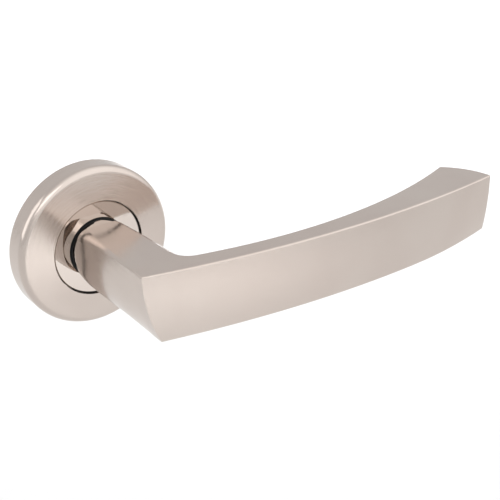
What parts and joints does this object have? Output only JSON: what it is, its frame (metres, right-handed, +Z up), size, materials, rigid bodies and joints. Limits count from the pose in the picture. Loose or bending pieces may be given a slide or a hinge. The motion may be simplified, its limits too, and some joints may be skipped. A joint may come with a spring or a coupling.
{
  "type": "door lever handle",
  "caption": "Bowed door lever on a round rose, sprung, with a square spindle and a rose cover that slides forward off its base.",
  "frame": {"origin": "where the lever's turning axis meets the door's face, at the back of the rose", "axes": "+Y into the door, along the turning axis; +X along the grip from the neck to its free end; +Z up"},
  "size_m": [0.1512, 0.0789, 0.052],
  "materials": {
    "satin_nickel": "satin",
    "polished_nickel": "polished",
    "zinc_casting": "as cast",
    "zinc_plated_steel": "plated",
    "hardened_steel": "blackened",
    "black_nylon": "moulded",
    "black_rubber": "matt"
  },
  "bodies": {
    "base": {"mounting_base": "zinc_casting", "back_plate": "zinc_plated_steel", "neck_bush": "black_nylon", "thrust_washer": "black_nylon", "coned_washer": "hardened_steel", "stop_pins": "hardened_steel", "bolt_posts": "zinc_plated_steel", "back_plate_screws": "zinc_plated_steel", "cover_grip_ring": "black_rubber", "return_spring": "hardened_steel", "polished_ring": "polished_nickel", "ring_gasket": "black_rubber"},
    "lever": {"lever_handle": "satin_nickel", "spindle": "zinc_plated_steel", "lever_grub_screw": "hardened_steel", "spring_cam": "zinc_plated_steel", "retaining_washer": "zinc_plated_steel", "circlip": "hardened_steel"},
    "cover": {"rose_cover": "satin_nickel"}
  },
  "joints": [
    {"name": "lever_turn", "type": "hinge", "parent": "base", "child": "lever", "pos_m": [0, 0, 0], "axis": [0, 1, 0], "range_deg": [0, 45], "stiffness_Nm_per_rad": 0.5, "springref_deg": -31.51, "deforming": ["return_spring"]},
    {"name": "cover_slide", "type": "slide", "parent": "base", "child": "cover", "axis": [0, -1, 0], "range_m": [0, 0.02]}
  ]
}
